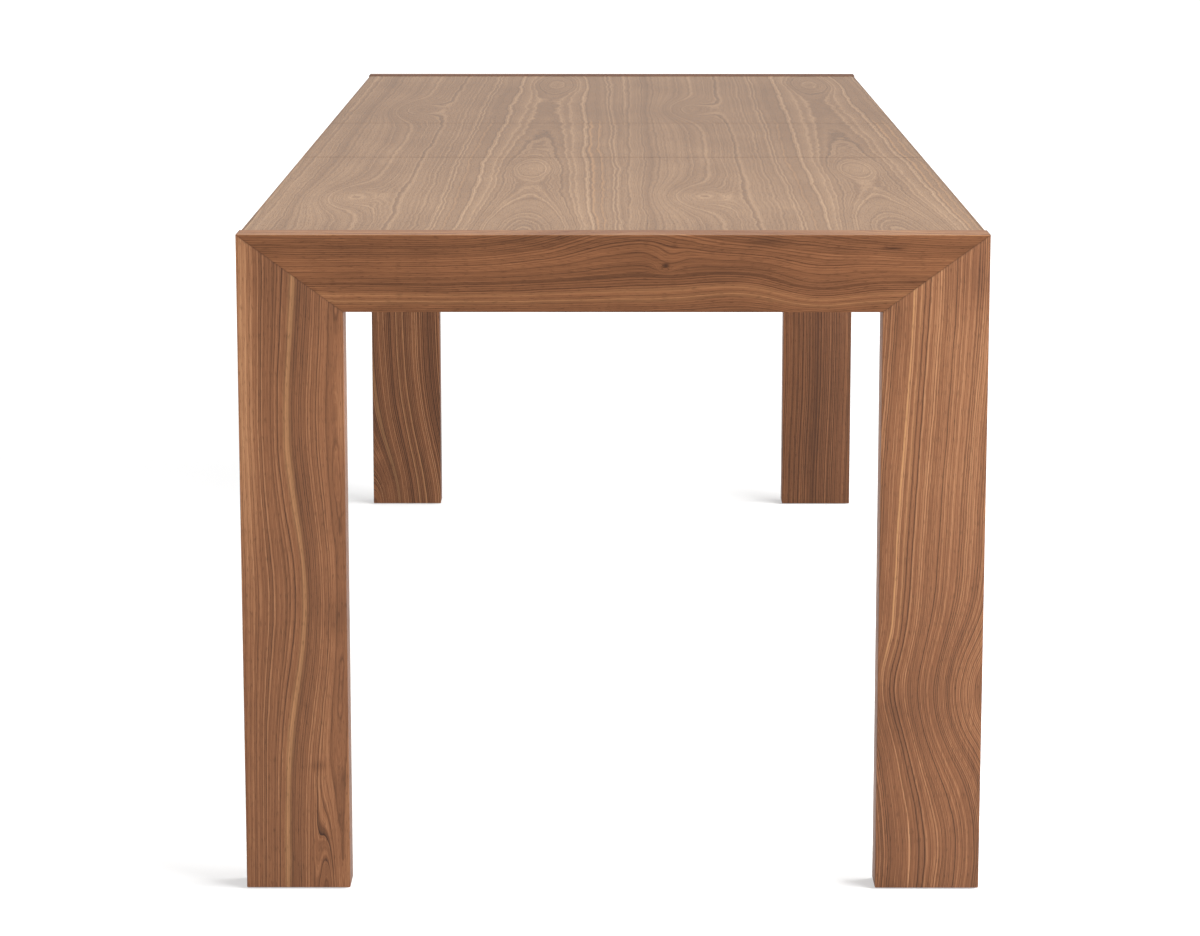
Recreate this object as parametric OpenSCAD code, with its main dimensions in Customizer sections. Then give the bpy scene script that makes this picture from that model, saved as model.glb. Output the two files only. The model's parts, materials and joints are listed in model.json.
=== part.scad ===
// Extension dining table: two halves, each a mitred end frame with its own piece of top, joined by
// geared three-member slides, and one leaf that drops in between them.
// Millimetres. The origin is on the floor, under the middle of the open table, and Y runs along it.
// Both halves are built by the same modules, as seen from the middle of the leaf, with the frame
// towards -Y; near() and far() put them in place with their own lengths.

/* [Table] */
// Height of the end frames above the floor
table_h = 750; // [700:1:800]
// Width over the legs
table_w = 834; // [780:1:1000]
// Length of the near half, from the outer face of its frame to the seam
near_half_l = 877; // [850:1:1100]
// Length of the far half
far_half_l = 942; // [850:1:1100]
// Length of the leaf
leaf_l = 508; // [450:1:560]

/* [End frame] */
// Thickness of the frame boards
frame_t = 45; // [38:1:52]
// Width of a leg
leg_w = 118; // [100:1:140]
// Height of the top rail
rail_h = 86; // [80:1:100]
// Diameter of the dowels in the mitres
dowel_d = 12; // [8:1:14]

/* [Top] */
// Thickness of the top and the leaf
top_t = 26; // [24:1:28]
// How far the top stands in from the outer faces of the legs
top_inset = 1.5; // [1:0.5:6]
// How far the top lies below the upper face of the rail
top_drop = 1; // [0:0.5:3]
// Open gap at each seam
seam_gap = 1; // [0.5:0.5:2]
// Thickness of the solid lippings round the veneered panels
lipping_t = 3; // [2:1:8]

/* [Aprons] */
// Thickness of the side aprons
apron_t = 22; // [18:1:26]
// How far the aprons stand in from the edge of the top
apron_inset = 25; // [15:1:40]

/* [Slides] */
// Distance of each slide from the centreline
slide_x = 190; // [150:5:220]
// Thickness of the members that are screwed to the tops
member_t = 22; // [20:1:26]
// Length of the members that are screwed to the tops
member_l = 660; // [640:10:700]
// Length of the centre member
centre_l = 640; // [600:10:700]

/* [Levellers] */
// Height that a leveller stands out of the leg when it is screwed home
leveller_out = 1.5; // [1:0.5:4]
// Radius of the leveller's foot
leveller_r = 15; // [12:1:18]

/* [Hidden] */
$fn = 48;

walnut = "#8a5a3c";
walnut_top = "#b29478";
beech = "#d8b98c";
steel = "#8f9296";
brass = "#b5904a";
nylon = "#2b2b2b";
felt = "#6a5f55";

// Places along Y, from the middle of the leaf, for a half with its frame towards -Y
leaf_mid_y = (near_half_l - far_half_l) / 2;
seam_y = -leaf_l / 2;                      // middle of the seam
half_edge_y = seam_y - seam_gap / 2;       // edge of the half's top
leaf_edge_y = seam_y + seam_gap / 2;       // edge of the leaf
function frame_y() = seam_y - $half_l;     // outer face of the frame
function frame_back_y() = frame_y() + frame_t;
// Heights
top_z = table_h - top_drop;                // upper face of the tops
under_z = top_z - top_t;                   // underside of the tops
pin_z = top_z - top_t / 2;                 // axis of the seam pins
rail_z = table_h - rail_h;                 // lower edge of the rail and aprons
top_x = table_w / 2 - top_inset;           // half width of the tops
apron_x = top_x - apron_inset;             // outer face of the aprons
leg_inner_x = table_w / 2 - leg_w;         // inner face of the legs
// Slides, measured from the axis of each centre member
centre_half = 11;                          // half the centre members' thickness
member_face = centre_half + 1;             // face of the outer members, 1 mm from the centre one
member_z = rail_z + 14.5;                  // lower edge of the outer members
centre_z = member_z - 1;                   // lower edge of the centre members
centre_top_z = under_z - 1;                // upper edge of the centre members
relief = 0.5;                              // lowering of a member where another top slides over it
relief_lead = 4;                           // how far that starts before the seam
crossbar_y = 200;                          // distance of each cross-bar from the middle
crossbar_w = 60;
crossbar_t = 12;
member_end_y = 20;                         // how far the outer members reach past the leaf's middle
member_start_y = member_end_y - member_l;
// Dovetail tongues of the centre members
tongue_z = member_z + 14.5;
tongue_out = 7;
tongue_base_h = 8;
tongue_tip_h = 14;
tongue_clear = 0.4;
// Gears
pinion_teeth = 18;
gear_module = 1.5;
pressure_angle = 20;
pitch_r = pinion_teeth * gear_module / 2;
base_r = pitch_r * cos(pressure_angle);
tip_r = pitch_r + gear_module;
root_r = pitch_r - 1.25 * gear_module;
tooth_pitch = PI * gear_module;
backlash = 0.2;
gear_w = 8;
gear_z = under_z - 16.5;
gear_clear = 0.8;                          // room round a pinion in its slot
gear_pin_below = 12;                       // how far a gear pin reaches under its pinion
rack_back = 19;
rack_groove_clear = 0.5;
rack_teeth_near = 4;                       // rack teeth on the near side of the middle, past the pinion
rack_teeth_far = 58;
axle_r = 3;
// Seam pins
pin_r = 5;
pin_out = 12;
pin_in = 18;
pin_slide = 0.1;                           // clearance of a pin in the bore that it enters
bore_spare = 2;                            // depth of that bore past the pin's end
pin_xs = [110, 330];
// Leaf locks
lock_x = 290;
lock_y = 18;                               // distance of a pivot or stud from its seam
lock_plate_w = 24;
lock_plate_t = 2;
stud_head_r = 5;
stud_head_h = 1.6;
lever_t = 3;
lever_z = under_z - 7;
lever_end_r = 9;
lever_w = 12;
lever_clear = 0.4;                         // room round the stud in a hook
tab_w = 10;                                // finger tab of a lever
tab_t = 2;
tab_drop = 9;
// Frame fixing
bolt_xs = [-220, -75, 75, 220];
bolt_z = under_z - 20.5;
bolt_r = 4;
bolt_head_r = 6.5;
bolt_head_h = 8;
socket_r = 3.4;                            // hexagon socket in a bolt's head
socket_depth = 4;
bolt_clear = 0.3;
insert_r = 6;
insert_l = 22;
insert_spare = 4;                          // depth of an insert's bore past its end
bracket_t = 3;
bracket_w = 40;
bracket_half = 280;
bracket_screw_xs = [-240, -120, 0, 120, 240];
bracket_screw_y = 25;                      // from the back of the frame
screw_r = 2.5;
screw_clear = 0.2;
screw_head_r = 4.5;
screw_head_h = 3;
screw_in = 15;                             // how far the screws reach into the top
slide_screw_ys = [-620, -510, -400, -290];
slide_screw_x = 27;                        // from the axis of the centre member
slide_screw_z = member_z + 12;             // where the screw heads bear
// Levellers
leveller_h = leveller_out + 5.5;
stud_r = 3.95;
stud_top_z = 45;
stud_clear = 0.6;
leveller_edge = 1;                         // bevel round the foot
leveller_clear = 2;                        // room round the foot in its recess
leveller_insert_z = leveller_h + 0.1;
leveller_insert_r = 6.5;
leveller_insert_l = 20;
leg_mid_x = table_w / 2 - leg_w / 2;
function leg_mid_y() = frame_y() + frame_t / 2;
// Glued blocks
dowel_l = 50;
dowel_shares = [0.35, 0.68];               // places of the dowels, as shares of a mitre's length
cleat_w = 18;
cleat_start = 60;                          // from the back of the frame
cleat_stop = 20;                           // from a seam
block_reach = 55;                          // how far a corner block runs along the apron and the rail
block_end = 8;                             // thickness of its ends
block_z = rail_z + 4;
felt_r = 9;
felt_y = 150;                              // distance of the felt pads from the leaf's middle
fit = 0.05;                                // clearance round glued and threaded pieces
past = 1;                                  // how far a cut runs past the surface that it opens

// ---- helpers ----

module box(x0, x1, y0, y1, z0, z1) {
  translate([x0, y0, z0]) cube([x1 - x0, y1 - y0, z1 - z0]);
}

// Cylinder along +Y
module rod_y(r, l) {
  rotate([-90, 0, 0]) cylinder(r = r, h = l);
}

// What belongs to the near half
module near() {
  $half_l = near_half_l;
  translate([0, leaf_mid_y, 0]) children();
}

// What belongs to the far half, turned half round
module far() {
  $half_l = far_half_l;
  translate([0, leaf_mid_y, 0]) rotate([0, 0, 180]) children();
}

// What belongs to the leaf or the centre slides
module middle() {
  translate([0, leaf_mid_y, 0]) children();
}

// Twice, the second time turned half round
module both_ends() {
  for (turn = [0, 180]) rotate([0, 0, turn]) children();
}

module left_right() {
  children();
  mirror([1, 0, 0]) children();
}

// ---- end frame ----

// Board whose outline lies in the XZ plane, as thick as the frame
module frame_board(outline) {
  translate([0, frame_back_y(), 0]) rotate([90, 0, 0]) linear_extrude(frame_t) polygon(outline);
}

// Two dowels square to the right-hand mitre
module mitre_dowel_pair(extra = 0) {
  angle = atan2(leg_w, rail_h);
  for (share = dowel_shares)
    translate([table_w / 2 - share * leg_w, leg_mid_y(), table_h - share * rail_h])
      rotate([0, -90 + angle, 0])
        cylinder(r = dowel_d / 2 + extra, h = dowel_l + 2 * extra, center = true);
}

module leveller_bore() {
  translate([leg_mid_x, leg_mid_y(), 0]) {
    cylinder(r = leveller_r + leveller_clear, h = leveller_insert_z);
    cylinder(r = leveller_insert_r + fit, h = leveller_insert_z + leveller_insert_l);
    cylinder(r = stud_r + stud_clear, h = stud_top_z + 5);
  }
}

module leg_right() {
  color(walnut) difference() {
    frame_board([[table_w / 2, leveller_out], [table_w / 2, table_h],
      [leg_inner_x, rail_z], [leg_inner_x, leveller_out]]);
    mitre_dowel_pair(fit);
    leveller_bore();
  }
}

module rail() {
  color(walnut) difference() {
    frame_board([[-table_w / 2, table_h], [table_w / 2, table_h],
      [leg_inner_x, rail_z], [-leg_inner_x, rail_z]]);
    left_right() mitre_dowel_pair(fit);
    for (x = bolt_xs)
      translate([x, frame_back_y() - insert_l - insert_spare, bolt_z])
        rod_y(insert_r + fit, insert_l + insert_spare + past);
  }
}

module mitre_dowels() {
  color(beech) left_right() mitre_dowel_pair();
}

module frame_bracket() {
  color(steel) difference() {
    union() {
      box(-bracket_half, bracket_half, frame_back_y(), frame_back_y() + bracket_t,
        under_z - bracket_w, under_z);
      box(-bracket_half, bracket_half, frame_back_y(), frame_back_y() + bracket_w,
        under_z - bracket_t, under_z);
    }
    for (x = bolt_xs)
      translate([x, frame_back_y() - past, bolt_z]) rod_y(bolt_r + bolt_clear, bracket_t + 2 * past);
    for (x = bracket_screw_xs)
      translate([x, frame_back_y() + bracket_screw_y, under_z - bracket_t - past])
        cylinder(r = screw_r + screw_clear, h = bracket_t + 2 * past);
  }
}

module frame_bolts() {
  color(steel) for (x = bolt_xs) translate([x, frame_back_y(), bolt_z]) {
    translate([0, -insert_l, 0]) rod_y(bolt_r, insert_l + bracket_t + 1);
    difference() {
      translate([0, bracket_t, 0]) rod_y(bolt_head_r, bolt_head_h);
      translate([0, bracket_t + bolt_head_h - socket_depth, 0]) rotate([-90, 0, 0])
        cylinder(r = socket_r, h = socket_depth + past, $fn = 6);
    }
  }
}

// Threaded inserts: four in the rail and one in the foot of each leg
module inserts() {
  color(brass) {
    for (x = bolt_xs) translate([x, frame_back_y() - insert_l, bolt_z]) difference() {
      rod_y(insert_r, insert_l);
      translate([0, -past, 0]) rod_y(bolt_r + fit, insert_l + 2 * past);
    }
    for (side = [-1, 1]) translate([side * leg_mid_x, leg_mid_y(), leveller_insert_z]) difference() {
      cylinder(r = leveller_insert_r, h = leveller_insert_l);
      translate([0, 0, -past]) cylinder(r = stud_r + fit, h = leveller_insert_l + 2 * past);
    }
  }
}

module leveller() {
  color(nylon) translate([leg_mid_x, leg_mid_y(), 0]) {
    cylinder(r1 = leveller_r - leveller_edge, r2 = leveller_r, h = leveller_edge);
    translate([0, 0, leveller_edge]) cylinder(r = leveller_r, h = leveller_h - leveller_edge);
    cylinder(r = stud_r, h = stud_top_z);
  }
}

// ---- tops ----

// Holes for the seam pins of the near half: own pins on one side, the mating bores on the other
module seam_holes(pin_side) {
  for (x = pin_xs) {
    translate([pin_side * x, half_edge_y - pin_in, pin_z]) rod_y(pin_r + fit, pin_in + past);
    translate([-pin_side * x, half_edge_y - pin_out - bore_spare, pin_z])
      rod_y(pin_r + pin_slide, pin_out + bore_spare + past);
  }
}

module panel_screw_holes() {
  depth = screw_in + 2 * past;
  for (x = bracket_screw_xs)
    translate([x, frame_back_y() + bracket_screw_y, under_z - past])
      cylinder(r = screw_r + fit, h = depth);
  for (side = [-1, 1], y = slide_screw_ys)
    translate([side * slide_x + slide_screw_x, y, under_z - past])
      cylinder(r = screw_r + fit, h = depth);
}

module top_panel() {
  color(walnut_top) difference() {
    box(-top_x + lipping_t, top_x - lipping_t, frame_back_y(), half_edge_y - lipping_t,
      under_z, top_z);
    seam_holes(1);
    panel_screw_holes();
  }
}

module top_lippings() {
  color(walnut) {
    left_right() box(top_x - lipping_t, top_x, frame_back_y(), half_edge_y, under_z, top_z);
    difference() {
      box(-top_x + lipping_t, top_x - lipping_t, half_edge_y - lipping_t, half_edge_y,
        under_z, top_z);
      seam_holes(1);
    }
  }
}

module seam_pins() {
  color(beech) for (x = pin_xs)
    translate([x, half_edge_y - pin_in, pin_z]) rod_y(pin_r, pin_in + pin_out);
}

// The leaf's seams are those of the halves, met from the other side of each seam
module leaf_seam_holes() {
  both_ends() for (x = pin_xs) {
    translate([-x, leaf_edge_y - past, pin_z]) rod_y(pin_r + fit, pin_in + past);
    translate([x, leaf_edge_y - past, pin_z])
      rod_y(pin_r + pin_slide, pin_out + bore_spare + past);
  }
}

module leaf_panel() {
  color(walnut_top) difference() {
    box(-top_x + lipping_t, top_x - lipping_t, leaf_edge_y + lipping_t, -leaf_edge_y - lipping_t,
      under_z, top_z);
    leaf_seam_holes();
  }
}

module leaf_lippings() {
  color(walnut) {
    left_right() box(top_x - lipping_t, top_x, leaf_edge_y, -leaf_edge_y, under_z, top_z);
    difference() {
      both_ends()
        box(-top_x + lipping_t, top_x - lipping_t, leaf_edge_y, leaf_edge_y + lipping_t,
          under_z, top_z);
      leaf_seam_holes();
    }
  }
}

module leaf_seam_pins() {
  color(beech) both_ends() for (x = pin_xs)
    translate([-x, leaf_edge_y - pin_out, pin_z]) rod_y(pin_r, pin_in + pin_out);
}

// Four thin pads on which the leaf rests on the slide members
module leaf_felt_pads() {
  member_mid = member_face + member_t / 2;
  color(felt) both_ends()
    for (side = [-1, 1]) translate([side * slide_x + member_mid, -felt_y, under_z - relief])
      cylinder(r = felt_r, h = relief);
}

// ---- aprons ----

module apron_right(y0, y1) {
  color(walnut) box(apron_x - apron_t, apron_x, y0, y1, rail_z, under_z);
}

// Cleats that join the aprons to the top
module cleats(y0, y1) {
  inner_x = apron_x - apron_t;
  left_right() box(inner_x - cleat_w, inner_x, y0, y1, under_z - cleat_w, under_z);
}

// Cleats along the aprons and a block in each corner behind the frame
module glue_blocks() {
  x = apron_x - apron_t;
  y = frame_back_y();
  far_x = x - block_end - block_reach;
  color(beech) {
    cleats(y + cleat_start, half_edge_y - cleat_stop);
    left_right() translate([0, 0, block_z]) linear_extrude(under_z - block_z)
      polygon([[x, y], [x, y + block_reach], [x - block_end, y + block_reach],
        [far_x, y + block_end], [far_x, y]]);
  }
}

module leaf_glue_blocks() {
  color(beech) cleats(leaf_edge_y + cleat_stop, -leaf_edge_y - cleat_stop);
}

// ---- slides ----

// Dovetail outline, from the face of the centre member outwards, in the XZ plane
module tongue_outline(extra = 0, reach = 0) {
  tip = centre_half + tongue_out + extra;
  polygon([[centre_half - reach, tongue_z - tongue_base_h / 2 - extra],
    [tip, tongue_z - tongue_tip_h / 2 - extra], [tip, tongue_z + tongue_tip_h / 2 + extra],
    [centre_half - reach, tongue_z + tongue_base_h / 2 + extra]]);
}

module along_y(y0, y1) {
  translate([0, y1, 0]) rotate([90, 0, 0]) linear_extrude(y1 - y0) children();
}

// The near half's member on the +X side of one centre member
module slide_member(axis_x) {
  color(beech) translate([axis_x, 0, 0]) difference() {
    box(member_face, member_face + member_t, member_start_y, member_end_y, member_z, under_z);
    box(member_face - past, member_face + member_t + past, half_edge_y - relief_lead,
      member_end_y + past, under_z - relief, under_z + past);
    along_y(member_start_y - past, member_end_y + past) tongue_outline(tongue_clear);
    box(member_face - past, rack_back + fit, member_start_y - past, member_end_y + past,
      gear_z - rack_groove_clear, gear_z + gear_w + rack_groove_clear);
    for (y = slide_screw_ys) translate([slide_screw_x, y, 0]) {
      cylinder(r = screw_r + fit, h = under_z + past);
      cylinder(r = screw_head_r + 0.5, h = slide_screw_z);
    }
  }
}

module centre_slide(axis_x) {
  color(beech) translate([axis_x, 0, 0]) difference() {
    union() {
      box(-centre_half, centre_half, -centre_l / 2, centre_l / 2, centre_z, centre_top_z);
      left_right() along_y(-centre_l / 2, centre_l / 2) tongue_outline(0, 1);
    }
    translate([0, 0, gear_z - rack_groove_clear])
      cylinder(r = tip_r + gear_clear, h = gear_w + 2 * rack_groove_clear);
    translate([0, 0, gear_z - gear_pin_below])
      cylinder(r = axle_r + 0.02, h = under_z - gear_z + gear_pin_below);
  }
}

module centre_crossbars() {
  color(beech) for (y = [-crossbar_y, crossbar_y])
    box(-slide_x - centre_half, slide_x + centre_half, y - crossbar_w / 2, y + crossbar_w / 2,
      centre_z - crossbar_t, centre_z);
}

module gear_pins() {
  color(steel) for (side = [-1, 1]) translate([side * slide_x, 0, gear_z - gear_pin_below])
    cylinder(r = axle_r, h = centre_top_z - gear_z + gear_pin_below);
}

// ---- gears ----

// Involute function, in degrees
function involute(a) = tan(a) * 180 / PI - a;
// Half the angle that a tooth takes at radius r
function tooth_half_angle(r) =
  90 / pinion_teeth - backlash / 4 / pitch_r * 180 / PI
  + involute(pressure_angle) - involute(acos(base_r / r));
function polar(r, a) = [r * cos(a), r * sin(a)];

function pinion_outline(steps = 5) = [
  for (tooth = [0 : pinion_teeth - 1])
    let (mid = 360 * tooth / pinion_teeth, foot = tooth_half_angle(base_r))
      for (point = concat(
        [polar(root_r, mid - foot)],
        [for (i = [0 : steps]) let (r = base_r + (tip_r - base_r) * i / steps)
          polar(r, mid - tooth_half_angle(r))],
        [for (i = [steps : -1 : 0]) let (r = base_r + (tip_r - base_r) * i / steps)
          polar(r, mid + tooth_half_angle(r))],
        [polar(root_r, mid + foot)])) point];

// Rack that the +X side of a pinion rolls on: it has a space in the middle, at y 0
function rack_outline(before, after) =
  let (tip_x = pitch_r - gear_module, foot_x = pitch_r + 1.25 * gear_module,
    half = tooth_pitch / 4 - backlash / 4,
    tip_half = half - gear_module * tan(pressure_angle),
    foot_half = half + 1.25 * gear_module * tan(pressure_angle))
  concat(
    [[rack_back, -before * tooth_pitch], [foot_x, -before * tooth_pitch]],
    [for (k = [-before : after - 1]) let (mid = (k + 0.5) * tooth_pitch)
      for (point = [[foot_x, mid - foot_half], [tip_x, mid - tip_half],
        [tip_x, mid + tip_half], [foot_x, mid + foot_half]]) point],
    [[foot_x, after * tooth_pitch], [rack_back, after * tooth_pitch]]);

module racks() {
  color(steel) for (side = [-1, 1]) translate([side * slide_x, 0, gear_z])
    linear_extrude(gear_w) polygon(rack_outline(rack_teeth_far, rack_teeth_near));
}

module pinion(axis_x) {
  color(brass) translate([axis_x, 0, gear_z]) difference() {
    linear_extrude(gear_w) polygon(pinion_outline());
    translate([0, 0, -past]) cylinder(r = axle_r + fit, h = gear_w + 2 * past);
  }
}

// ---- screws ----

module screw(length) {
  translate([0, 0, -screw_head_h]) cylinder(r = screw_head_r, h = screw_head_h);
  cylinder(r = screw_r, h = length);
}

module panel_screws() {
  color(steel) {
    for (x = bracket_screw_xs)
      translate([x, frame_back_y() + bracket_screw_y, under_z - bracket_t])
        screw(bracket_t + screw_in);
    for (side = [-1, 1], y = slide_screw_ys)
      translate([side * slide_x + slide_screw_x, y, slide_screw_z])
        screw(under_z - slide_screw_z + screw_in);
  }
}

// ---- leaf locks ----

// Plate with the headed stud that a lever turns on, or hooks round
module lock_plate() {
  color(steel) {
    translate([-lock_plate_w / 2, -lock_plate_w / 2, under_z - lock_plate_t])
      cube([lock_plate_w, lock_plate_w, lock_plate_t]);
    translate([0, 0, lever_z - 1]) cylinder(r = axle_r, h = under_z - lever_z + 1);
    translate([0, 0, lever_z - 2]) cylinder(r = stud_head_r, h = stud_head_h);
  }
}

// One plate carries the lever, the other is the keeper for the lever across the seam
module lock_plates() {
  for (side = [-1, 1]) translate([side * lock_x, seam_y - lock_y, 0]) lock_plate();
}

module leaf_lock_plates() {
  both_ends()
    for (side = [-1, 1]) translate([side * lock_x, seam_y + lock_y, 0]) lock_plate();
}

// Lever that lies along +X when open, and hooks the stud across the seam after a quarter turn
module lock_lever() {
  reach = 2 * lock_y;
  cut_h = lever_t + 2 * past;
  slot = axle_r + lever_clear;
  color(brass) translate([0, 0, lever_z]) {
    difference() {
      union() {
        cylinder(r = lever_end_r, h = lever_t);
        translate([0, -lever_w / 2, 0]) cube([reach, lever_w, lever_t]);
        translate([reach, 0, 0]) cylinder(r = lever_end_r, h = lever_t);
      }
      translate([0, 0, -past]) cylinder(r = axle_r + fit, h = cut_h);
      translate([reach, 0, -past]) cylinder(r = slot, h = cut_h);
      // the mouth of the hook follows the stud's path round the pivot
      intersection() {
        translate([0, 0, -past]) difference() {
          cylinder(r = reach + slot, h = cut_h);
          translate([0, 0, -past]) cylinder(r = reach - slot, h = cut_h + 2 * past);
        }
        translate([reach / 2, 0, -past]) cube([reach, lever_w, cut_h]);
      }
    }
    translate([reach - tab_w / 2, -lever_end_r, -tab_drop]) cube([tab_w, tab_t, tab_drop + 1]);
  }
}

module half_lock_lever() {
  translate([lock_x, seam_y - lock_y, 0]) lock_lever();
}

module leaf_lock_lever() {
  translate([-lock_x, seam_y + lock_y, 0]) rotate([0, 0, 180]) lock_lever();
}

// ---- nodes ----

near() rail();  // near_rail
near() mirror([1, 0, 0]) leg_right();  // near_leg_left
near() leg_right();  // near_leg_right
near() mitre_dowels();  // near_mitre_dowels
near() top_panel();  // near_top_panel
near() top_lippings();  // near_top_lippings
near() mirror([1, 0, 0]) apron_right(frame_back_y(), half_edge_y);  // near_apron_left
near() apron_right(frame_back_y(), half_edge_y);  // near_apron_right
near() glue_blocks();  // near_glue_blocks
near() frame_bracket();  // near_frame_bracket
near() frame_bolts();  // near_frame_bolts
near() inserts();  // near_inserts
near() panel_screws();  // near_panel_screws
near() slide_member(-slide_x);  // near_slide_left
near() slide_member(slide_x);  // near_slide_right
near() racks();  // near_racks
near() seam_pins();  // near_seam_pins
near() lock_plates();  // near_lock_plates

far() rail();  // far_rail
far() leg_right();  // far_leg_left
far() mirror([1, 0, 0]) leg_right();  // far_leg_right
far() mitre_dowels();  // far_mitre_dowels
far() top_panel();  // far_top_panel
far() top_lippings();  // far_top_lippings
far() apron_right(frame_back_y(), half_edge_y);  // far_apron_left
far() mirror([1, 0, 0]) apron_right(frame_back_y(), half_edge_y);  // far_apron_right
far() glue_blocks();  // far_glue_blocks
far() frame_bracket();  // far_frame_bracket
far() frame_bolts();  // far_frame_bolts
far() inserts();  // far_inserts
far() panel_screws();  // far_panel_screws
far() slide_member(slide_x);  // far_slide_left
far() slide_member(-slide_x);  // far_slide_right
far() racks();  // far_racks
far() seam_pins();  // far_seam_pins
far() lock_plates();  // far_lock_plates

middle() leaf_panel();
middle() leaf_lippings();
middle() mirror([1, 0, 0]) apron_right(leaf_edge_y, -leaf_edge_y);  // leaf_apron_left
middle() apron_right(leaf_edge_y, -leaf_edge_y);  // leaf_apron_right
middle() leaf_seam_pins();
middle() leaf_lock_plates();
middle() leaf_felt_pads();
middle() leaf_glue_blocks();

middle() centre_slide(-slide_x);  // centre_slide_left
middle() centre_slide(slide_x);  // centre_slide_right
middle() centre_crossbars();
middle() gear_pins();
middle() pinion(-slide_x);  // pinion_left
middle() pinion(slide_x);  // pinion_right

near() half_lock_lever();  // near_lock_lever
far() half_lock_lever();  // far_lock_lever
middle() leaf_lock_lever();  // leaf_lock_lever_near
middle() rotate([0, 0, 180]) leaf_lock_lever();  // leaf_lock_lever_far

near() mirror([1, 0, 0]) leveller();  // leveller_near_left
near() leveller();  // leveller_near_right
far() leveller();  // leveller_far_left
far() mirror([1, 0, 0]) leveller();  // leveller_far_right
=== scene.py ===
"""Looks of the extendable dining table: its walnut, its hardware, the studio and the camera.

Lengths are metres in the frame of the CAD model: Y runs along the table, from the near end to the
far end, X across it and Z up.
"""

import json
import math
from dataclasses import dataclass, replace

import bmesh
import bpy
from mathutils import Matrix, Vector

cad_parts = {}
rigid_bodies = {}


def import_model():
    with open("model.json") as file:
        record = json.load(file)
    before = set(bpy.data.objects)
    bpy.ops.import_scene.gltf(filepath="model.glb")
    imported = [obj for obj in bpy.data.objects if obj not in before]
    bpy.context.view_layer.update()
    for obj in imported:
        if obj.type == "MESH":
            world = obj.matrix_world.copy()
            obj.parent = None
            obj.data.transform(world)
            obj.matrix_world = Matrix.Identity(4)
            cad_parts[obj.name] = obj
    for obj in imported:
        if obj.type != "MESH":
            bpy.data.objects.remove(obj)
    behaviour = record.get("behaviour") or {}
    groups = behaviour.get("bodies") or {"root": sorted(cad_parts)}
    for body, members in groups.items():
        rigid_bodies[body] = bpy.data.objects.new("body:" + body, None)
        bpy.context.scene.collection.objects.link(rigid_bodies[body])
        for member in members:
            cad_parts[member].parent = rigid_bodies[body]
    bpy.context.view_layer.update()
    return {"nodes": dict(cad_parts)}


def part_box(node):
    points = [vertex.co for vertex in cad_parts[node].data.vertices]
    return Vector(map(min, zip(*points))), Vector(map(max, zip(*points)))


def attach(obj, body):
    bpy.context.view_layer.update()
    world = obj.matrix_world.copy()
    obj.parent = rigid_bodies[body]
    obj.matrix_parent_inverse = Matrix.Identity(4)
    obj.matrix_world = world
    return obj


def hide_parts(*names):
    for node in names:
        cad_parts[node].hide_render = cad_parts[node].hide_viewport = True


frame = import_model()
nodes = frame["nodes"]

EASE = 0.0012  # radius of the eased edges of the frame boards
LIPPING_EASE = 0.0010  # the same round the pieces of top
APRON_EASE = 0.001  # the same for the aprons
FINE_EASE = 0.0005  # the same for slides and hardware
AXIS = {"x": 0, "y": 1, "z": 2}
WHITE = (1, 1, 1, 1)

rail_low, rail_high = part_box("near_rail")
leg_low, leg_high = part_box("near_leg_right")
top_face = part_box("near_top_panel")[1].z
near_face = rail_low.y
far_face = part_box("far_rail")[0].y
table_side = rail_high.x
mitre_slant = (rail_high.z - rail_low.z) / (leg_high.x - leg_low.x)  # drop for each metre inward


# ---- Shader graphs ----


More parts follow.
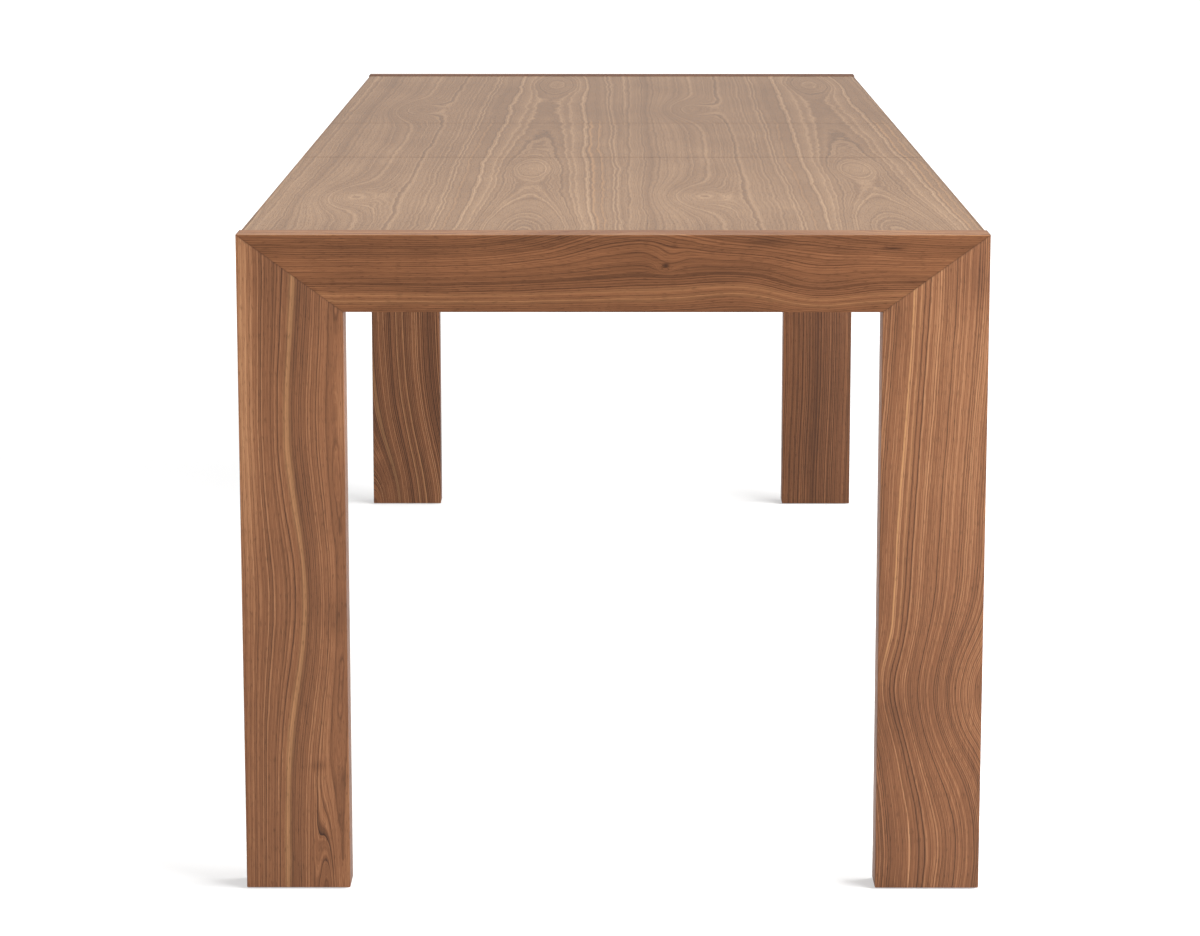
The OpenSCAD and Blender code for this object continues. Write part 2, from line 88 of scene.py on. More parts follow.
class Graph:
    """The nodes of one material. A value is a socket or a number."""

    def __init__(self, name):
        self.material = bpy.data.materials.new(name)
        self.material.use_nodes = True
        self.tree = self.material.node_tree
        self.tree.nodes.clear()
        self.shader = self.tree.nodes.new("ShaderNodeBsdfPrincipled")
        output = self.tree.nodes.new("ShaderNodeOutputMaterial")
        self.tree.links.new(self.shader.outputs["BSDF"], output.inputs["Surface"])
        place = self.tree.nodes.new("ShaderNodeTexCoord").outputs["Object"]
        split = self.tree.nodes.new("ShaderNodeSeparateXYZ")
        self.tree.links.new(place, split.inputs[0])
        self.place = place
        self.xyz = list(split.outputs)

    def put(self, socket, value):
        if isinstance(value, bpy.types.NodeSocket):
            self.tree.links.new(value, socket)
        else:
            socket.default_value = value

    def set(self, name, value):
        self.put(self.shader.inputs[name], value)

    def math(self, operation, *values, clamp=False):
        node = self.tree.nodes.new("ShaderNodeMath")
        node.operation = operation
        node.use_clamp = clamp
        for socket, value in zip(node.inputs, values):
            self.put(socket, value)
        return node.outputs[0]

    def add(self, *values):
        total = values[0]
        for value in values[1:]:
            total = self.math("ADD", total, value)
        return total

    def less(self, a, b):
        return self.math("SUBTRACT", a, b)

    def times(self, a, b):
        return self.math("MULTIPLY", a, b)

    def power(self, a, b):
        return self.math("POWER", a, b)

    def hypot(self, a, b):
        return self.math("SQRT", self.add(self.times(a, a), self.times(b, b)))

    def bell(self, a):
        """1 at 0, falling smoothly to nothing at about 2."""
        return self.math("EXPONENT", self.times(self.times(a, a), -1.0))

    def spot(self, u, v, u0, v0, half_width, half_length):
        """1 at (u0, v0), falling smoothly away from it in both directions."""
        across = self.times(self.less(u, u0), 1 / half_width)
        along = self.times(self.less(v, v0), 1 / half_length)
        total = self.add(self.times(across, across), self.times(along, along))
        return self.math("EXPONENT", self.times(total, -1.0))

    def ramp(self, value, start, end):
        """0 below start, 1 above end, and smooth between them."""
        node = self.tree.nodes.new("ShaderNodeMapRange")
        node.interpolation_type = "SMOOTHSTEP"
        for socket, each in zip(node.inputs, (value, start, end)):
            self.put(socket, each)
        return node.outputs[0]

    def vector(self, x, y, z):
        node = self.tree.nodes.new("ShaderNodeCombineXYZ")
        for socket, value in zip(node.inputs, (x, y, z)):
            self.put(socket, value)
        return node.outputs[0]

    def noise(self, place, scale=1.0, detail=2.0, roughness=0.5):
        """Noise between about 0 and 1. A plain value for place gives noise along a line."""
        node = self.tree.nodes.new("ShaderNodeTexNoise")
        line = place.type == "VALUE"
        node.noise_dimensions = "1D" if line else "3D"
        self.put(node.inputs["W" if line else "Vector"], place)
        node.inputs["Scale"].default_value = scale
        node.inputs["Detail"].default_value = detail
        node.inputs["Roughness"].default_value = roughness
        return node.outputs[0]

    def spread(self, noise, amount):
        """Noise that strays by about amount from 0: as made, it strays a quarter from 0.5."""
        return self.times(self.less(noise, 0.5), amount * 4)

    def mix(self, share, a, b):
        node = self.tree.nodes.new("ShaderNodeMix")
        node.data_type = "RGBA"
        sockets = (node.inputs[0], node.inputs[6], node.inputs[7])  # those of a colour mix
        for socket, value in zip(sockets, (share, a, b)):
            self.put(socket, value)
        return node.outputs[2]

    def colours(self, value, stops):
        """Colour along a ramp. stops are (place, colour) pairs."""
        node = self.tree.nodes.new("ShaderNodeValToRGB")
        elements = node.color_ramp.elements
        while len(elements) < len(stops):
            elements.new(0.5)
        for element, (place, colour) in zip(elements, stops):
            element.position = place
            element.color = colour
        self.put(node.inputs[0], value)
        return node.outputs[0]

    def bump(self, height, depth, strength=1.0):
        node = self.tree.nodes.new("ShaderNodeBump")
        node.inputs["Strength"].default_value = strength
        node.inputs["Distance"].default_value = depth
        self.put(node.inputs["Height"], height)
        self.set("Normal", node.outputs[0])


def srgb(red, green, blue):
    """A colour given in display values from 0 to 255."""
    linear = [((c / 255 + 0.055) / 1.055) ** 2.4 for c in (red, green, blue)]
    return (*linear, 1.0)


# ---- Walnut ----


@dataclass
class Figure:
    """How the growth rings meet one face of a board. The grain lines are where they surface.

    across and along name the axes of the face, face is where it lies on the third axis, and places
    on it are (across, along) in metres. heart is the place across where the face comes nearest to
    the middle of the tree, depth how far under the face that is, and slope how much deeper for
    each metre along.
    """

    across: str
    along: str
    face: float
    heart: float
    depth: float
    slope: float = 0.0
    ring: float = 0.0026  # distance from one ring to the next
    bends: tuple = ()  # (across, along, half width, half length, shift): the lines step aside
    ovals: tuple = ()  # (across, along, half width, half length, rings): loops or arches
    streaks: tuple = ()  # (across, along, half width, strength): golden, or dark if negative
    reach: tuple = ()  # (low, high): the streaks fade out beyond these places along
    patches: tuple = ()  # (across, along, half width, half length, lift): a change of tone
    repeat: float = 0.0  # width of the veneer sheets that show the same figure side by side
    joint: float = 0.0  # place across of a joint between two sheets
    lift: float = 0.5  # mean tone, from 0 dark to 1 light
    lines: float = 0.12  # how far the ring lines stray from it
    late: float = -2.0  # tone of the latewood as a share of that: dark, or light if positive
    broad: float = 0.07  # how far the broad bands of tone stray
    wander: float = 1.0  # how far the rings stray from true circles, in rings
    ripple: float = 0.0  # the same for short waves along the lines
    tones: tuple = ()  # (place, colour) stops from dark to light, if not the boards' own
    mitred: bool = False  # shows a glue line along the mitres
    seed: float = 0.0  # another number gives other noise


BOARD_TONES = (
    (0.0, srgb(62, 37, 21)),
    (0.25, srgb(99, 61, 36)),
    (0.5, srgb(132, 85, 54)),
    (0.75, srgb(167, 119, 82)),
    (1.0, srgb(206, 158, 116)),
)
VENEER_TONES = (
    (0.0, srgb(66, 45, 28)),
    (0.25, srgb(104, 75, 50)),
    (0.5, srgb(138, 103, 72)),
    (0.75, srgb(173, 137, 103)),
    (1.0, srgb(212, 178, 142)),
)
GOLD = srgb(212, 160, 108)
DARK_LINE = srgb(62, 36, 20)
PORE = srgb(48, 28, 16)
WIDE = 9.0  # half width of a bend or patch that takes in the whole board

# Waves to the metre, across and along the grain
BROAD_WAVES = (6.0, 1.6)
CLOSE_WAVES = (40.0, 7.0)
RIPPLE_WAVES = (26.0, 22.0)
FIBRE_WAVES = (900.0, 22.0)
PORE_WAVES = (850.0, 95.0)
SWELL_WAVES = 9.0

# The same to the ring
LINE_WAVES = 1.1
BAND_WAVES = 0.12
RING_STEP = 7.3  # not a whole number, so that each ring has a strength of its own

BROAD_STRAY = 0.9  # how far the broad waves move the rings, in rings
CLOSE_STRAY = 0.25  # the same for the close ones
LATE_SHARPNESS = 5.0  # how narrow the latewood is within its ring
CLOUD_TONE = 0.05  # how far clouds of tone stray
FIBRE_TONE = 0.10  # the same for the fibres
PORE_RANGE = (0.56, 0.74)  # values of the noise between which a pore appears
PORE_DARKNESS = 0.36
PORE_DEPTH = 0.00008
SWELL = 0.4  # how far a streak's width strays, as a share of it
STREAK_REACH = 0.06  # how far a streak may stray across the board from the place it is set at
STREAK_FADE = 0.08  # length over which a streak fades out at the end of its reach
GLUE_LINE = 0.0011  # half width of the dark line along a mitre
GLUE_DARKNESS = 0.35
WALNUT_ROUGHNESS = 0.5
BOARD_SPECULAR = 0.27
RAIL_SPECULAR = 0.17
VENEER_SPECULAR = 0.35


def ring_count(g, figure, u, v, depth):
    """Rings passed between the heart and a place on the board, depth under its face."""
    sideways = u
    for u0, v0, half_width, half_length, shift in figure.bends:
        sideways = g.less(sideways, g.times(g.spot(u, v, u0, v0, half_width, half_length), shift))
    deep = g.add(g.times(v, figure.slope), depth, figure.depth)
    count = g.times(g.hypot(g.less(sideways, figure.heart), deep), 1 / figure.ring)
    for u0, v0, half_width, half_length, rings in figure.ovals:
        count = g.add(count, g.times(g.spot(sideways, v, u0, v0, half_width, half_length), rings))
    return count


def spot_at(u, v, u0, v0, half_width, half_length):
    return math.exp(-(((u - u0) / half_width) ** 2) - ((v - v0) / half_length) ** 2)


def ring_count_at(figure, u, v):
    """The same for one place on the face, in plain numbers, where a streak runs."""
    sideways = u - sum(spot_at(u, v, *bend[:4]) * bend[4] for bend in figure.bends)
    count = math.hypot(sideways - figure.heart, figure.depth + figure.slope * v) / figure.ring
    return count + sum(spot_at(sideways, v, *oval[:4]) * oval[4] for oval in figure.ovals)


def mitre_line(g):
    """1 on the mitre joints of an end frame, 0 away from them."""
    inward = g.less(table_side, g.math("ABSOLUTE", g.xyz[0]))
    down = g.less(rail_high.z, g.xyz[2])
    off = g.less(down, g.times(inward, mitre_slant))
    return g.bell(g.times(off, 1 / GLUE_LINE))


def stretched(g, u, v, w, waves):
    """A place for noise with its own number of waves to the metre across and along the grain."""
    across, along = waves
    return g.vector(g.times(u, across), g.times(v, along), g.times(w, across))


def add_streaks(g, figure, colour, rings, sheet, v):
    """The golden and dark lines, each of which follows one ring."""
    swell = g.add(1.0, g.spread(g.noise(g.times(v, SWELL_WAVES), detail=1.0), SWELL))
    kept = 1.0
    if figure.reach:
        low, high = figure.reach
        begun = g.ramp(v, low, low + STREAK_FADE)
        ended = g.ramp(v, high - STREAK_FADE, high)
        kept = g.times(begun, g.less(1.0, ended))
    for u0, v0, half_width, strength in figure.streaks:
        off = g.times(g.less(rings, ring_count_at(figure, u0, v0)), figure.ring / half_width)
        line = g.times(g.bell(g.math("DIVIDE", off, swell)), abs(strength))
        near = g.bell(g.times(g.less(sheet, u0), 1 / STREAK_REACH))
        shown = g.times(g.times(line, near), kept)
        colour = g.mix(shown, colour, GOLD if strength > 0 else DARK_LINE)
    return colour


def walnut(name, figure, specular=BOARD_SPECULAR):
    """Oiled walnut: ring lines, broad bands of colour, golden streaks, fibres and open pores."""
    g = Graph(name)
    u = g.xyz[AXIS[figure.across]]
    v = g.xyz[AXIS[figure.along]]
    (third,) = set("xyz") - {figure.across, figure.along}
    depth = g.less(g.xyz[AXIS[third]], figure.face)
    layer = g.add(depth, figure.seed)
    sheet = u
    if figure.repeat:
        sheet = g.math("WRAP", u, figure.joint + figure.repeat, figure.joint)

    broad_place = stretched(g, sheet, v, layer, BROAD_WAVES)
    close_noise = g.noise(stretched(g, u, v, layer, CLOSE_WAVES), detail=2.0)
    rings = g.add(
        ring_count(g, figure, sheet, v, depth),
        g.spread(g.noise(broad_place, detail=2.0), BROAD_STRAY * figure.wander),
        g.spread(close_noise, CLOSE_STRAY * figure.wander),
    )
    if figure.ripple:
        ripples = g.noise(stretched(g, u, v, layer, RIPPLE_WAVES), detail=2.0)
        rings = g.add(rings, g.spread(ripples, figure.ripple))
    own_rings = g.add(rings, figure.seed * 10)

    lines = g.noise(own_rings, scale=LINE_WAVES, detail=5.0, roughness=0.8)
    bands = g.noise(own_rings, scale=BAND_WAVES, detail=1.0)
    each = g.noise(g.math("FLOOR", own_rings), scale=RING_STEP, detail=0.0)
    strength = g.ramp(each, 0.3, 0.7)
    latewood = g.times(g.power(g.math("FRACT", own_rings), LATE_SHARPNESS), strength)
    clouds = g.noise(broad_place, scale=2.5, detail=3.0)
    fibres = g.noise(stretched(g, u, v, depth, FIBRE_WAVES), detail=2.0, roughness=0.6)
    pores = g.ramp(g.noise(stretched(g, u, v, depth, PORE_WAVES), detail=1.0), *PORE_RANGE)

    tone = g.add(
        figure.lift,
        g.spread(lines, figure.lines),
        g.spread(bands, figure.broad),
        g.spread(clouds, CLOUD_TONE),
        g.spread(fibres, FIBRE_TONE),
        g.times(latewood, figure.late * figure.lines),
    )
    for u0, v0, half_width, half_length, lift in figure.patches:
        tone = g.add(tone, g.times(g.spot(sheet, v, u0, v0, half_width, half_length), lift))
    colour = g.colours(tone, figure.tones or BOARD_TONES)
    colour = add_streaks(g, figure, colour, rings, sheet, v)
    colour = g.mix(g.times(pores, PORE_DARKNESS), colour, PORE)
    if figure.mitred:
        colour = g.mix(g.times(mitre_line(g), GLUE_DARKNESS), colour, PORE)

    g.set("Base Color", colour)
    g.set("Roughness", g.add(WALNUT_ROUGHNESS, g.spread(fibres, 0.05), g.times(pores, 0.15)))
    g.set("Specular IOR Level", specular)
    g.bump(g.less(g.times(fibres, 0.3), pores), PORE_DEPTH, 0.6)
    return g.material


# ---- Other materials ----

# Waves to the metre, across and along
BEECH_GRAIN_WAVES = (160.0, 5.0)
BEECH_FLECK_WAVES = (900.0, 180.0)
BRUSH_WAVES = (900.0, 40.0)


def beech(name):
    """Steamed beech: pale pink-brown with short dark flecks along the grain."""
    g = Graph(name)
    x, y, z = g.xyz
    grain = g.noise(stretched(g, x, y, z, BEECH_GRAIN_WAVES), detail=4.0)
    flecks = g.ramp(g.noise(stretched(g, x, y, z, BEECH_FLECK_WAVES), detail=1.0), 0.64, 0.7)
    colour = g.colours(grain, ((0.25, srgb(186, 142, 98)), (0.75, srgb(222, 184, 138))))
    g.set("Base Color", g.mix(g.times(flecks, 0.3), colour, srgb(150, 102, 66)))
    g.set("Roughness", g.add(0.5, g.spread(grain, 0.1)))
    g.bump(g.add(grain, flecks), 0.0001, 0.5)
    return g.material


def metal(name, bright, dull, roughness):
    """Plated or brushed metal, with fine marks along X and cloudy dull patches."""
    g = Graph(name)
    x, y, z = g.xyz
    across, along = BRUSH_WAVES
    place = g.vector(g.times(x, along), g.times(y, across), g.times(z, across))
    marks = g.noise(place, detail=3.0)
    clouds = g.noise(g.place, scale=45.0, detail=3.0)
    g.set("Base Color", g.mix(g.ramp(clouds, 0.35, 0.75), bright, dull))
    g.shader.inputs["Metallic"].default_value = 1.0
    g.set("Roughness", g.add(roughness, g.spread(marks, 0.12), g.spread(clouds, 0.05)))
    g.bump(marks, 0.00005, 0.4)
    return g.material


def nylon(name):
    """Black moulded nylon with a faint matt grain."""
    g = Graph(name)
    grain = g.noise(g.place, scale=2500.0, detail=2.0)
    scuffs = g.noise(g.place, scale=120.0, detail=4.0)
    g.set("Base Color", g.mix(g.ramp(scuffs, 0.5, 0.8), srgb(26, 26, 27), srgb(44, 43, 42)))
    g.set("Roughness", g.add(0.55, g.spread(scuffs, 0.15)))
    g.bump(grain, 0.00004, 0.5)
    return g.material


def felt(name):
    """Pressed grey-brown felt."""
    g = Graph(name)
    fluff = g.noise(g.place, scale=1800.0, detail=4.0, roughness=0.7)
    g.set("Base Color", g.colours(fluff, ((0.3, srgb(70, 62, 55)), (0.7, srgb(112, 102, 92)))))
    g.shader.inputs["Roughness"].default_value = 0.95
    g.shader.inputs["Sheen Weight"].default_value = 0.4
    g.bump(fluff, 0.0003, 0.8)
    return g.material


# ---- Pieces ----

SAME_PLACE = 1e-6  # points closer than this are one
ON_FACE = 1e-4  # a point closer than this to a face lies on it
FLAT_ANGLE = math.radians(0.5)  # faces that meet at less than this are one
EDGE_ANGLE = math.radians(30)  # faces that meet at more than this have an edge to ease
SHADING_ANGLE = math.radians(25)  # an edge as sharp as this is shaded sharp
BEVEL_ANGLE = math.radians(35)  # the bevel modifier's own limit
SHORT_EDGE = 0.02  # an edge of a board that is shorter stays sharp


def eased_copy(node_name, ease, wanted, shortest):
    """A copy of a CAD node, with the edges that wanted(start, end) picks rounded over."""
    source = nodes[node_name]
    mesh = source.data.copy()
    board = bpy.data.objects.new(node_name + "_board", mesh)
    bpy.context.scene.collection.objects.link(board)
    work = bmesh.new()
    work.from_mesh(mesh)
    bmesh.ops.remove_doubles(work, verts=work.verts, dist=SAME_PLACE)
    bmesh.ops.dissolve_limit(
        work, angle_limit=FLAT_ANGLE, verts=work.verts, edges=work.edges
    )
    sharp = [
        edge
        for edge in work.edges
        if len(edge.link_faces) == 2
        and edge.calc_face_angle() > EDGE_ANGLE
        and edge.calc_length() > shortest
        and wanted(edge.verts[0].co, edge.verts[1].co)
    ]
    bmesh.ops.bevel(
        work, geom=sharp, offset=ease, segments=3, profile=0.5, affect="EDGES", clamp_overlap=True
    )
    work.to_mesh(mesh)
    work.free()
    mesh.shade_smooth()
    mesh.set_sharp_from_angle(angle=SHADING_ANGLE)
    return board


def stand_in(board, node_name, body):
    """Puts a board in the place of its CAD node, on its body."""
    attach(board, body)
    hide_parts(node_name)


def off_mitre(start, end):
    """True for an edge that isn't part of a mitre joint."""

    def on_mitre(point):
        inward = table_side - abs(point.x)
        return abs(rail_high.z - point.z - mitre_slant * inward) < ON_FACE

    return not (on_mitre(start) and on_mitre(end))


def ease_modifiers(node_name, width):
    """Rounds every edge of a CAD node that keeps its own mesh."""
    node = nodes[node_name]
    weld = node.modifiers.new("weld", "WELD")
    weld.merge_threshold = SAME_PLACE
    bevel = node.modifiers.new("ease", "BEVEL")
    bevel.width = width
    bevel.segments = 2
    bevel.limit_method = "ANGLE"
    bevel.angle_limit = BEVEL_ANGLE
    bevel.harden_normals = True


def paint(thing, material):
    thing.data.materials.clear()
    thing.data.materials.append(material)


# Growth-ring figures of the frame boards
RAIL = Figure(
    across="z", along="x", face=near_face, heart=0.50, depth=0.03, ring=0.0022,
    bends=(
        (0.695, 0.14, 0.04, 0.06, 0.007),
        (0.69, 0.225, 0.035, 0.05, -0.010),
        (0.721, 0.062, 0.014, 0.018, -0.009),
    ),
    ovals=(
        (0.716, 0.0575, 0.004, 0.008, 3.0),
        (0.764, 0.02, 0.05, 0.11, -14.0),
        (0.764, 0.20, 0.04, 0.10, -6.0),
    ),
    streaks=((0.684, -0.29, 0.0020, 0.08), (0.6785, 0.17, 0.0025, 0.08)),
    patches=(
        (0.674, 0.08, 0.010, 0.25, 0.02),
        (0.716, 0.0585, 0.0022, 0.0035, -0.4),
        (0.740, -0.03, 0.009, 0.07, -0.08),
        (0.735, 0.309, 0.0015, 0.012, -0.3),
        (0.742, 0.17, 0.004, 0.02, -0.12),
        # Painted light: this patch lightens the rail's upper face, at z 0.750, and the top edge of
        # its front face, as lit from above.
        (0.750, 0.0, 0.0007, WIDE, 0.30),
        (0.716, 0.33, 0.06, 0.12, 0.05),
        (0.705, -0.365, 0.045, 0.05, 0.06),
        (0.682, -0.31, 0.014, 0.05, 0.07),
    ),
    lift=0.35, lines=0.20, broad=0.05, wander=1.7, ripple=0.2, mitred=True, seed=3.0,
)
FAR_RAIL = replace(RAIL, face=far_face, patches=(), ovals=(), seed=53.0)
LEG_LEFT = Figure(
    across="x", along="z", face=near_face, heart=-0.317, depth=0.030, ring=0.0020,
    bends=((-0.34, 0.34, 0.05, 0.15, 0.024), (-0.34, 0.72, 0.05, 0.16, 0.018)),
    ovals=((-0.324, -0.03, 0.012, 0.12, 6.0),),
    streaks=((-0.371, 0.0, 0.0022, 0.28), (-0.3675, 0.0, 0.0012, -0.2)),
    patches=(
        (-0.411, 0.60, 0.016, 0.26, 0.27),
        (-0.350, 0.70, 0.045, 0.07, -0.09),
        (-0.302, 0.56, 0.007, 0.08, 0.16),
        (-0.345, 0.47, 0.012, 0.05, -0.08),
        (-0.311, 0.32, 0.012, 0.02, -0.12),
        (-0.333, 0.145, 0.010, 0.006, -0.14),
        (-0.306, 0.13, 0.006, 0.012, -0.12),
        (-0.322, 0.05, 0.014, 0.05, -0.07),
    ),
    lift=0.445, lines=0.25, broad=0.06, ripple=0.15, mitred=True, seed=11.0,
)
LEG_RIGHT = Figure(
    across="x", along="z", face=near_face, heart=0.58, depth=0.03, ring=0.0026,
    bends=(
        (0.30, 0.235, 0.05, 0.05, -0.012),
        (0.42, 0.225, 0.07, 0.075, -0.045),
        (0.36, 0.04, WIDE, 0.12, 0.018),
        (0.39, 0.06, 0.04, 0.12, 0.010),
        (0.32, 0.75, WIDE, 0.25, 0.020),
    ),
    streaks=((0.318, 0.37, 0.0010, 0.5), (0.326, 0.37, 0.0008, 0.2)),
    reach=(0.22, WIDE),
    patches=(
        (0.400, 0.705, 0.035, 0.055, -0.18),
        (0.315, 0.66, 0.03, 0.05, -0.07),
        (0.36, 0.75, 0.2, 0.3, 0.12),
        (0.32, 0.2, 0.04, 0.05, -0.12),
        (0.41, 0.45, 0.03, 0.3, 0.06),
        (0.36, 0.0, 0.2, 0.25, -0.05),
        (0.337, 0.05, 0.0012, 0.05, 0.22),
    ),
    lift=0.465, lines=0.31, ripple=0.2, mitred=True, seed=23.0,
)
# Part of the far legs' low lift, below that of the near legs, is painted shade from the table
# above them.
FAR_LEG_LEFT = Figure(
    across="x", along="z", face=far_face, heart=-0.52, depth=0.03, ring=0.0030,
    bends=((-0.36, -0.02, WIDE, 0.17, 0.04),),
    streaks=(
        (-0.3243, 0.006, 0.0012, 0.2),
        (-0.335, 0.006, 0.0015, 0.15),
        (-0.405, 0.15, 0.003, 0.2),
    ),
    ovals=((-0.442, 0.0, 0.028, 0.09, -13.0),),
    patches=((-0.407, 0.085, 0.008, 0.012, 0.14), (-0.395, 0.01, 0.02, 0.03, 0.06)),
    lift=0.395, lines=0.43, broad=0.12, mitred=True, seed=37.0,
)
# Part of its low lift is painted shade from the table above, as for the far left leg.
FAR_LEG_RIGHT = Figure(
    across="x", along="z", face=far_face, heart=0.2, depth=0.04, ring=0.0030,
    bends=((0.36, 0.3, WIDE, 0.2, 0.006),),
    streaks=((0.357, 0.3, 0.0018, -0.35),),
    lift=0.34, lines=0.34, mitred=True, seed=41.0,
)


def dress_frames():
    """The mitred boards of both end frames."""
    figures = {
        "near_rail": RAIL,
        "near_leg_left": LEG_LEFT,
        "near_leg_right": LEG_RIGHT,
        "far_rail": FAR_RAIL,
        "far_leg_left": FAR_LEG_LEFT,
        "far_leg_right": FAR_LEG_RIGHT,
    }
    for name, figure in figures.items():
        board = eased_copy(name, EASE, off_mitre, SHORT_EDGE)
        specular = RAIL_SPECULAR if name.endswith("_rail") else BOARD_SPECULAR
        paint(board, walnut("walnut_" + name, figure, specular=specular))
        stand_in(board, name, name.split("_")[0] + "_half")


VENEER = Figure(
    across="x", along="y", face=top_face, heart=-0.10, depth=0.05, slope=0.015, ring=0.0050,
    ovals=(
        (-0.100, -1.16, 0.052, 0.30, -12.4),
        (-0.106, -0.44, 0.024, 0.10, -5.6),
        (-0.325, -0.77, 0.038, 0.14, -12.2),
        (-0.305, 0.46, 0.036, 0.16, -12.4),
        (-0.090, 0.95, 0.036, 0.18, -6.6),
    ),
    streaks=(
        (-0.030, 0.0, 0.0013, 0.32),
        (-0.018, 0.0, 0.0011, 0.28),
        (-0.190, -0.8, 0.0009, 0.22),
    ),
    reach=(-WIDE, 0.3),
    patches=(
        (0.0, 0.5, WIDE, 0.9, -0.085),
        (-0.310, -0.77, 0.040, 0.06, 0.05),
        (-0.106, -0.44, 0.024, 0.05, 0.05),
    ),
    repeat=0.42, joint=-0.402, lift=0.57, lines=0.21, late=0.6, broad=0.05, wander=1.2, ripple=0.3,
    tones=VENEER_TONES, seed=5.0,
)
# The lippings' lower lift than the veneer's is painted shade, so that the seams between the pieces
# of top read as dark lines.
LIPPING = replace(VENEER, lift=0.42, streaks=(), patches=())
APRON = Figure(
    across="z", along="y", face=leg_high.x, heart=0.6, depth=0.05, ring=0.004, lift=0.45, seed=31.0
)


def on_rim(node_name):
    """A test for the outer edges of a ring of lippings, on the sides that bound it."""
    low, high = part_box(node_name)

    def wanted(start, end):
        return any(
            abs(start[axis] - side[axis]) < ON_FACE and abs(end[axis] - side[axis]) < ON_FACE
            for axis in (0, 1)
            for side in (low, high)
        )

    return wanted


def dress_tops():
    """The three pieces of top: veneer, lippings and aprons."""
    veneer = walnut("walnut_veneer", VENEER, specular=VENEER_SPECULAR)
    # The lippings are darker than the veneer: painted shade along the seams.
    lipping = walnut("walnut_lippings", LIPPING)
    for name in ("near_top_panel", "leaf_panel", "far_top_panel"):
        paint(nodes[name], veneer)
    for part, body in (("near_top", "near_half"), ("leaf", "leaf"), ("far_top", "far_half")):
        name = part + "_lippings"
        rim = eased_copy(name, LIPPING_EASE, on_rim(name), 0.0)
        paint(rim, lipping)
        stand_in(rim, name, body)
    apron = walnut("walnut_aprons", APRON)
    for name in nodes:
        if "_apron_" in name:
            ease_modifiers(name, APRON_EASE)
            paint(nodes[name], apron)


def dress_fittings():
    """Everything under the top that isn't walnut."""
    looks = {
        beech("beech"): ("dowels", "glue_blocks", "slide", "crossbars", "seam_pins"),
        metal("zinc_plate", srgb(192, 194, 198), srgb(172, 174, 179), 0.38): (
            "bracket", "bolts", "screws", "racks", "lock_plates", "gear_pins",
        ),
        metal("brass", srgb(222, 182, 108), srgb(196, 156, 88), 0.34): (
            "inserts", "lever", "pinion",
        ),
        nylon("nylon"): ("leveller",),
        felt("felt"): ("felt",),
    }
    for material, words in looks.items():
        for name, node in nodes.items():
            if any(word in name for word in words):
                if "rack" not in name and "pinion" not in name:
                    ease_modifiers(name, FINE_EASE)
                paint(node, material)


# ---- Studio ----

FLOOR_REACH = 40.0  # half the floor's width
FLOOR_SHADES = ((0.24, 0.24, 0.24, 1), (0.26, 0.26, 0.26, 1))
FLOOR_GLOW = 0.48  # the floor's own light round the table
FAR_GLOW = 0.55  # how much is added away from the table
GLOW_RISE = (1.6, 5.0)  # distances from the middle between which it is added
LOW_SKY = 0.6  # strength of the surround at the horizon
HIGH_SKY = 1.55  # the same overhead
KEY_POWER = 50
SWEEP_POWER = 1080

CAMERA_PLACE = (-0.0043, -5.173, 1.233)
CAMERA_PITCH = 0.1836  # radians below level
CAMERA_YAW = -0.0025
CAMERA_LENS = 109.6  # mm, on a sensor 36 mm wide


def make_floor():
    """White floor, partly self-lit, so that only the table's legs cast a shade on it."""
    g = Graph("floor")
    cloud = g.noise(g.place, scale=0.6, detail=1.0)
    g.set("Base Color", g.mix(cloud, *FLOOR_SHADES))
    g.shader.inputs["Roughness"].default_value = 0.9
    g.shader.inputs["Specular IOR Level"].default_value = 0.0
    g.shader.inputs["Emission Color"].default_value = WHITE
    away = g.hypot(g.xyz[0], g.xyz[1])
    g.set("Emission Strength", g.add(FLOOR_GLOW, g.times(g.ramp(away, *GLOW_RISE), FAR_GLOW)))
    mesh = bpy.data.meshes.new("floor")
    turns = ((-1, -1), (1, -1), (1, 1), (-1, 1))
    corners = [(x * FLOOR_REACH, y * FLOOR_REACH, 0) for x, y in turns]
    mesh.from_pydata(corners, [], [(0, 1, 2, 3)])
    floor = bpy.data.objects.new("floor", mesh)
    bpy.context.scene.collection.objects.link(floor)
    paint(floor, g.material)
    return floor


def area_light(name, place, target, size, power):
    data = bpy.data.lights.new(name, "AREA")
    data.shape = "RECTANGLE"
    data.size, data.size_y = size
    data.energy = power
    light = bpy.data.objects.new(name, data)
    light.location = place
    light.rotation_euler = (Vector(target) - Vector(place)).to_track_quat("-Z", "Y").to_euler()
    bpy.context.scene.collection.objects.link(light)
    return light


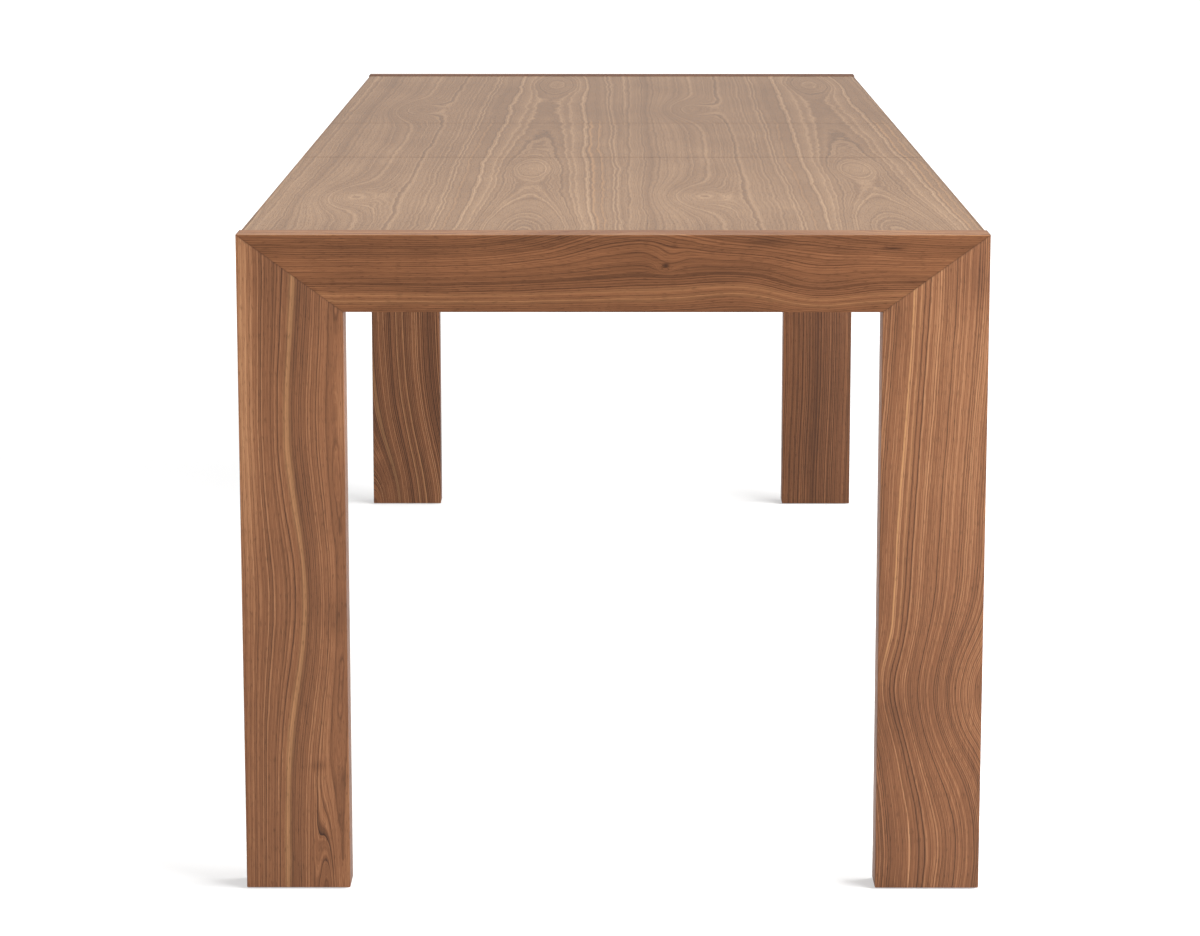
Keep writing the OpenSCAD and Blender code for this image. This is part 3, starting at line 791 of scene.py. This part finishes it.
def make_world():
    """Surround that lights the table from overhead most, and is plain white to the camera."""
    world = bpy.data.worlds.new("studio")
    world.use_nodes = True
    tree = world.node_tree
    direction = tree.nodes.new("ShaderNodeSeparateXYZ")
    surround = tree.nodes.new("ShaderNodeTexCoord").outputs["Generated"]
    tree.links.new(surround, direction.inputs[0])
    glow = tree.nodes.new("ShaderNodeMapRange")
    for socket, value in zip(list(glow.inputs)[1:5], (0.0, 1.0, LOW_SKY, HIGH_SKY)):
        socket.default_value = value
    tree.links.new(direction.outputs["Z"], glow.inputs[0])
    lighting = tree.nodes["Background"]
    lighting.inputs["Color"].default_value = WHITE
    tree.links.new(glow.outputs[0], lighting.inputs["Strength"])
    backdrop = tree.nodes.new("ShaderNodeBackground")
    backdrop.inputs["Color"].default_value = WHITE
    either = tree.nodes.new("ShaderNodeMixShader")
    seen = tree.nodes.new("ShaderNodeLightPath").outputs["Is Camera Ray"]
    for socket, source in zip(either.inputs, (seen, lighting.outputs[0], backdrop.outputs[0])):
        tree.links.new(source, socket)
    tree.links.new(either.outputs[0], tree.nodes["World Output"].inputs["Surface"])
    bpy.context.scene.world = world


def make_lights(floor):
    """A soft key from the right, and a light that only the floor takes and only the legs stop."""
    area_light(
        "key", place=(3.0, -2.6, 1.9), target=(0, 0, 0.4), size=(2.4, 2.0), power=KEY_POWER
    )
    sweep = area_light(
        "sweep_light",
        place=(3.2, -1.0, 1.6),
        target=(-0.4, 0, 0),
        size=(6.0, 1.6),
        power=SWEEP_POWER,
    )
    lit = bpy.data.collections.new("sweep_lit")
    lit.objects.link(floor)
    blocking = bpy.data.collections.new("sweep_blocking")
    for thing in bpy.data.objects:
        if "_leg_" in thing.name and thing.name.endswith("_board"):
            blocking.objects.link(thing)
    sweep.light_linking.receiver_collection = lit
    sweep.light_linking.blocker_collection = blocking
    bpy.context.scene.view_settings.view_transform = "Standard"


def make_camera():
    """A long lens at the near end, on the table's centreline and looking slightly down."""
    data = bpy.data.cameras.new("camera")
    data.sensor_width = 36.0
    data.lens = CAMERA_LENS
    camera = bpy.data.objects.new("camera", data)
    camera.location = CAMERA_PLACE
    camera.rotation_euler = (math.pi / 2 - CAMERA_PITCH, 0, -CAMERA_YAW)
    bpy.context.scene.collection.objects.link(camera)
    bpy.context.scene.camera = camera


dress_frames()
dress_tops()
dress_fittings()
make_world()
make_lights(make_floor())
make_camera()
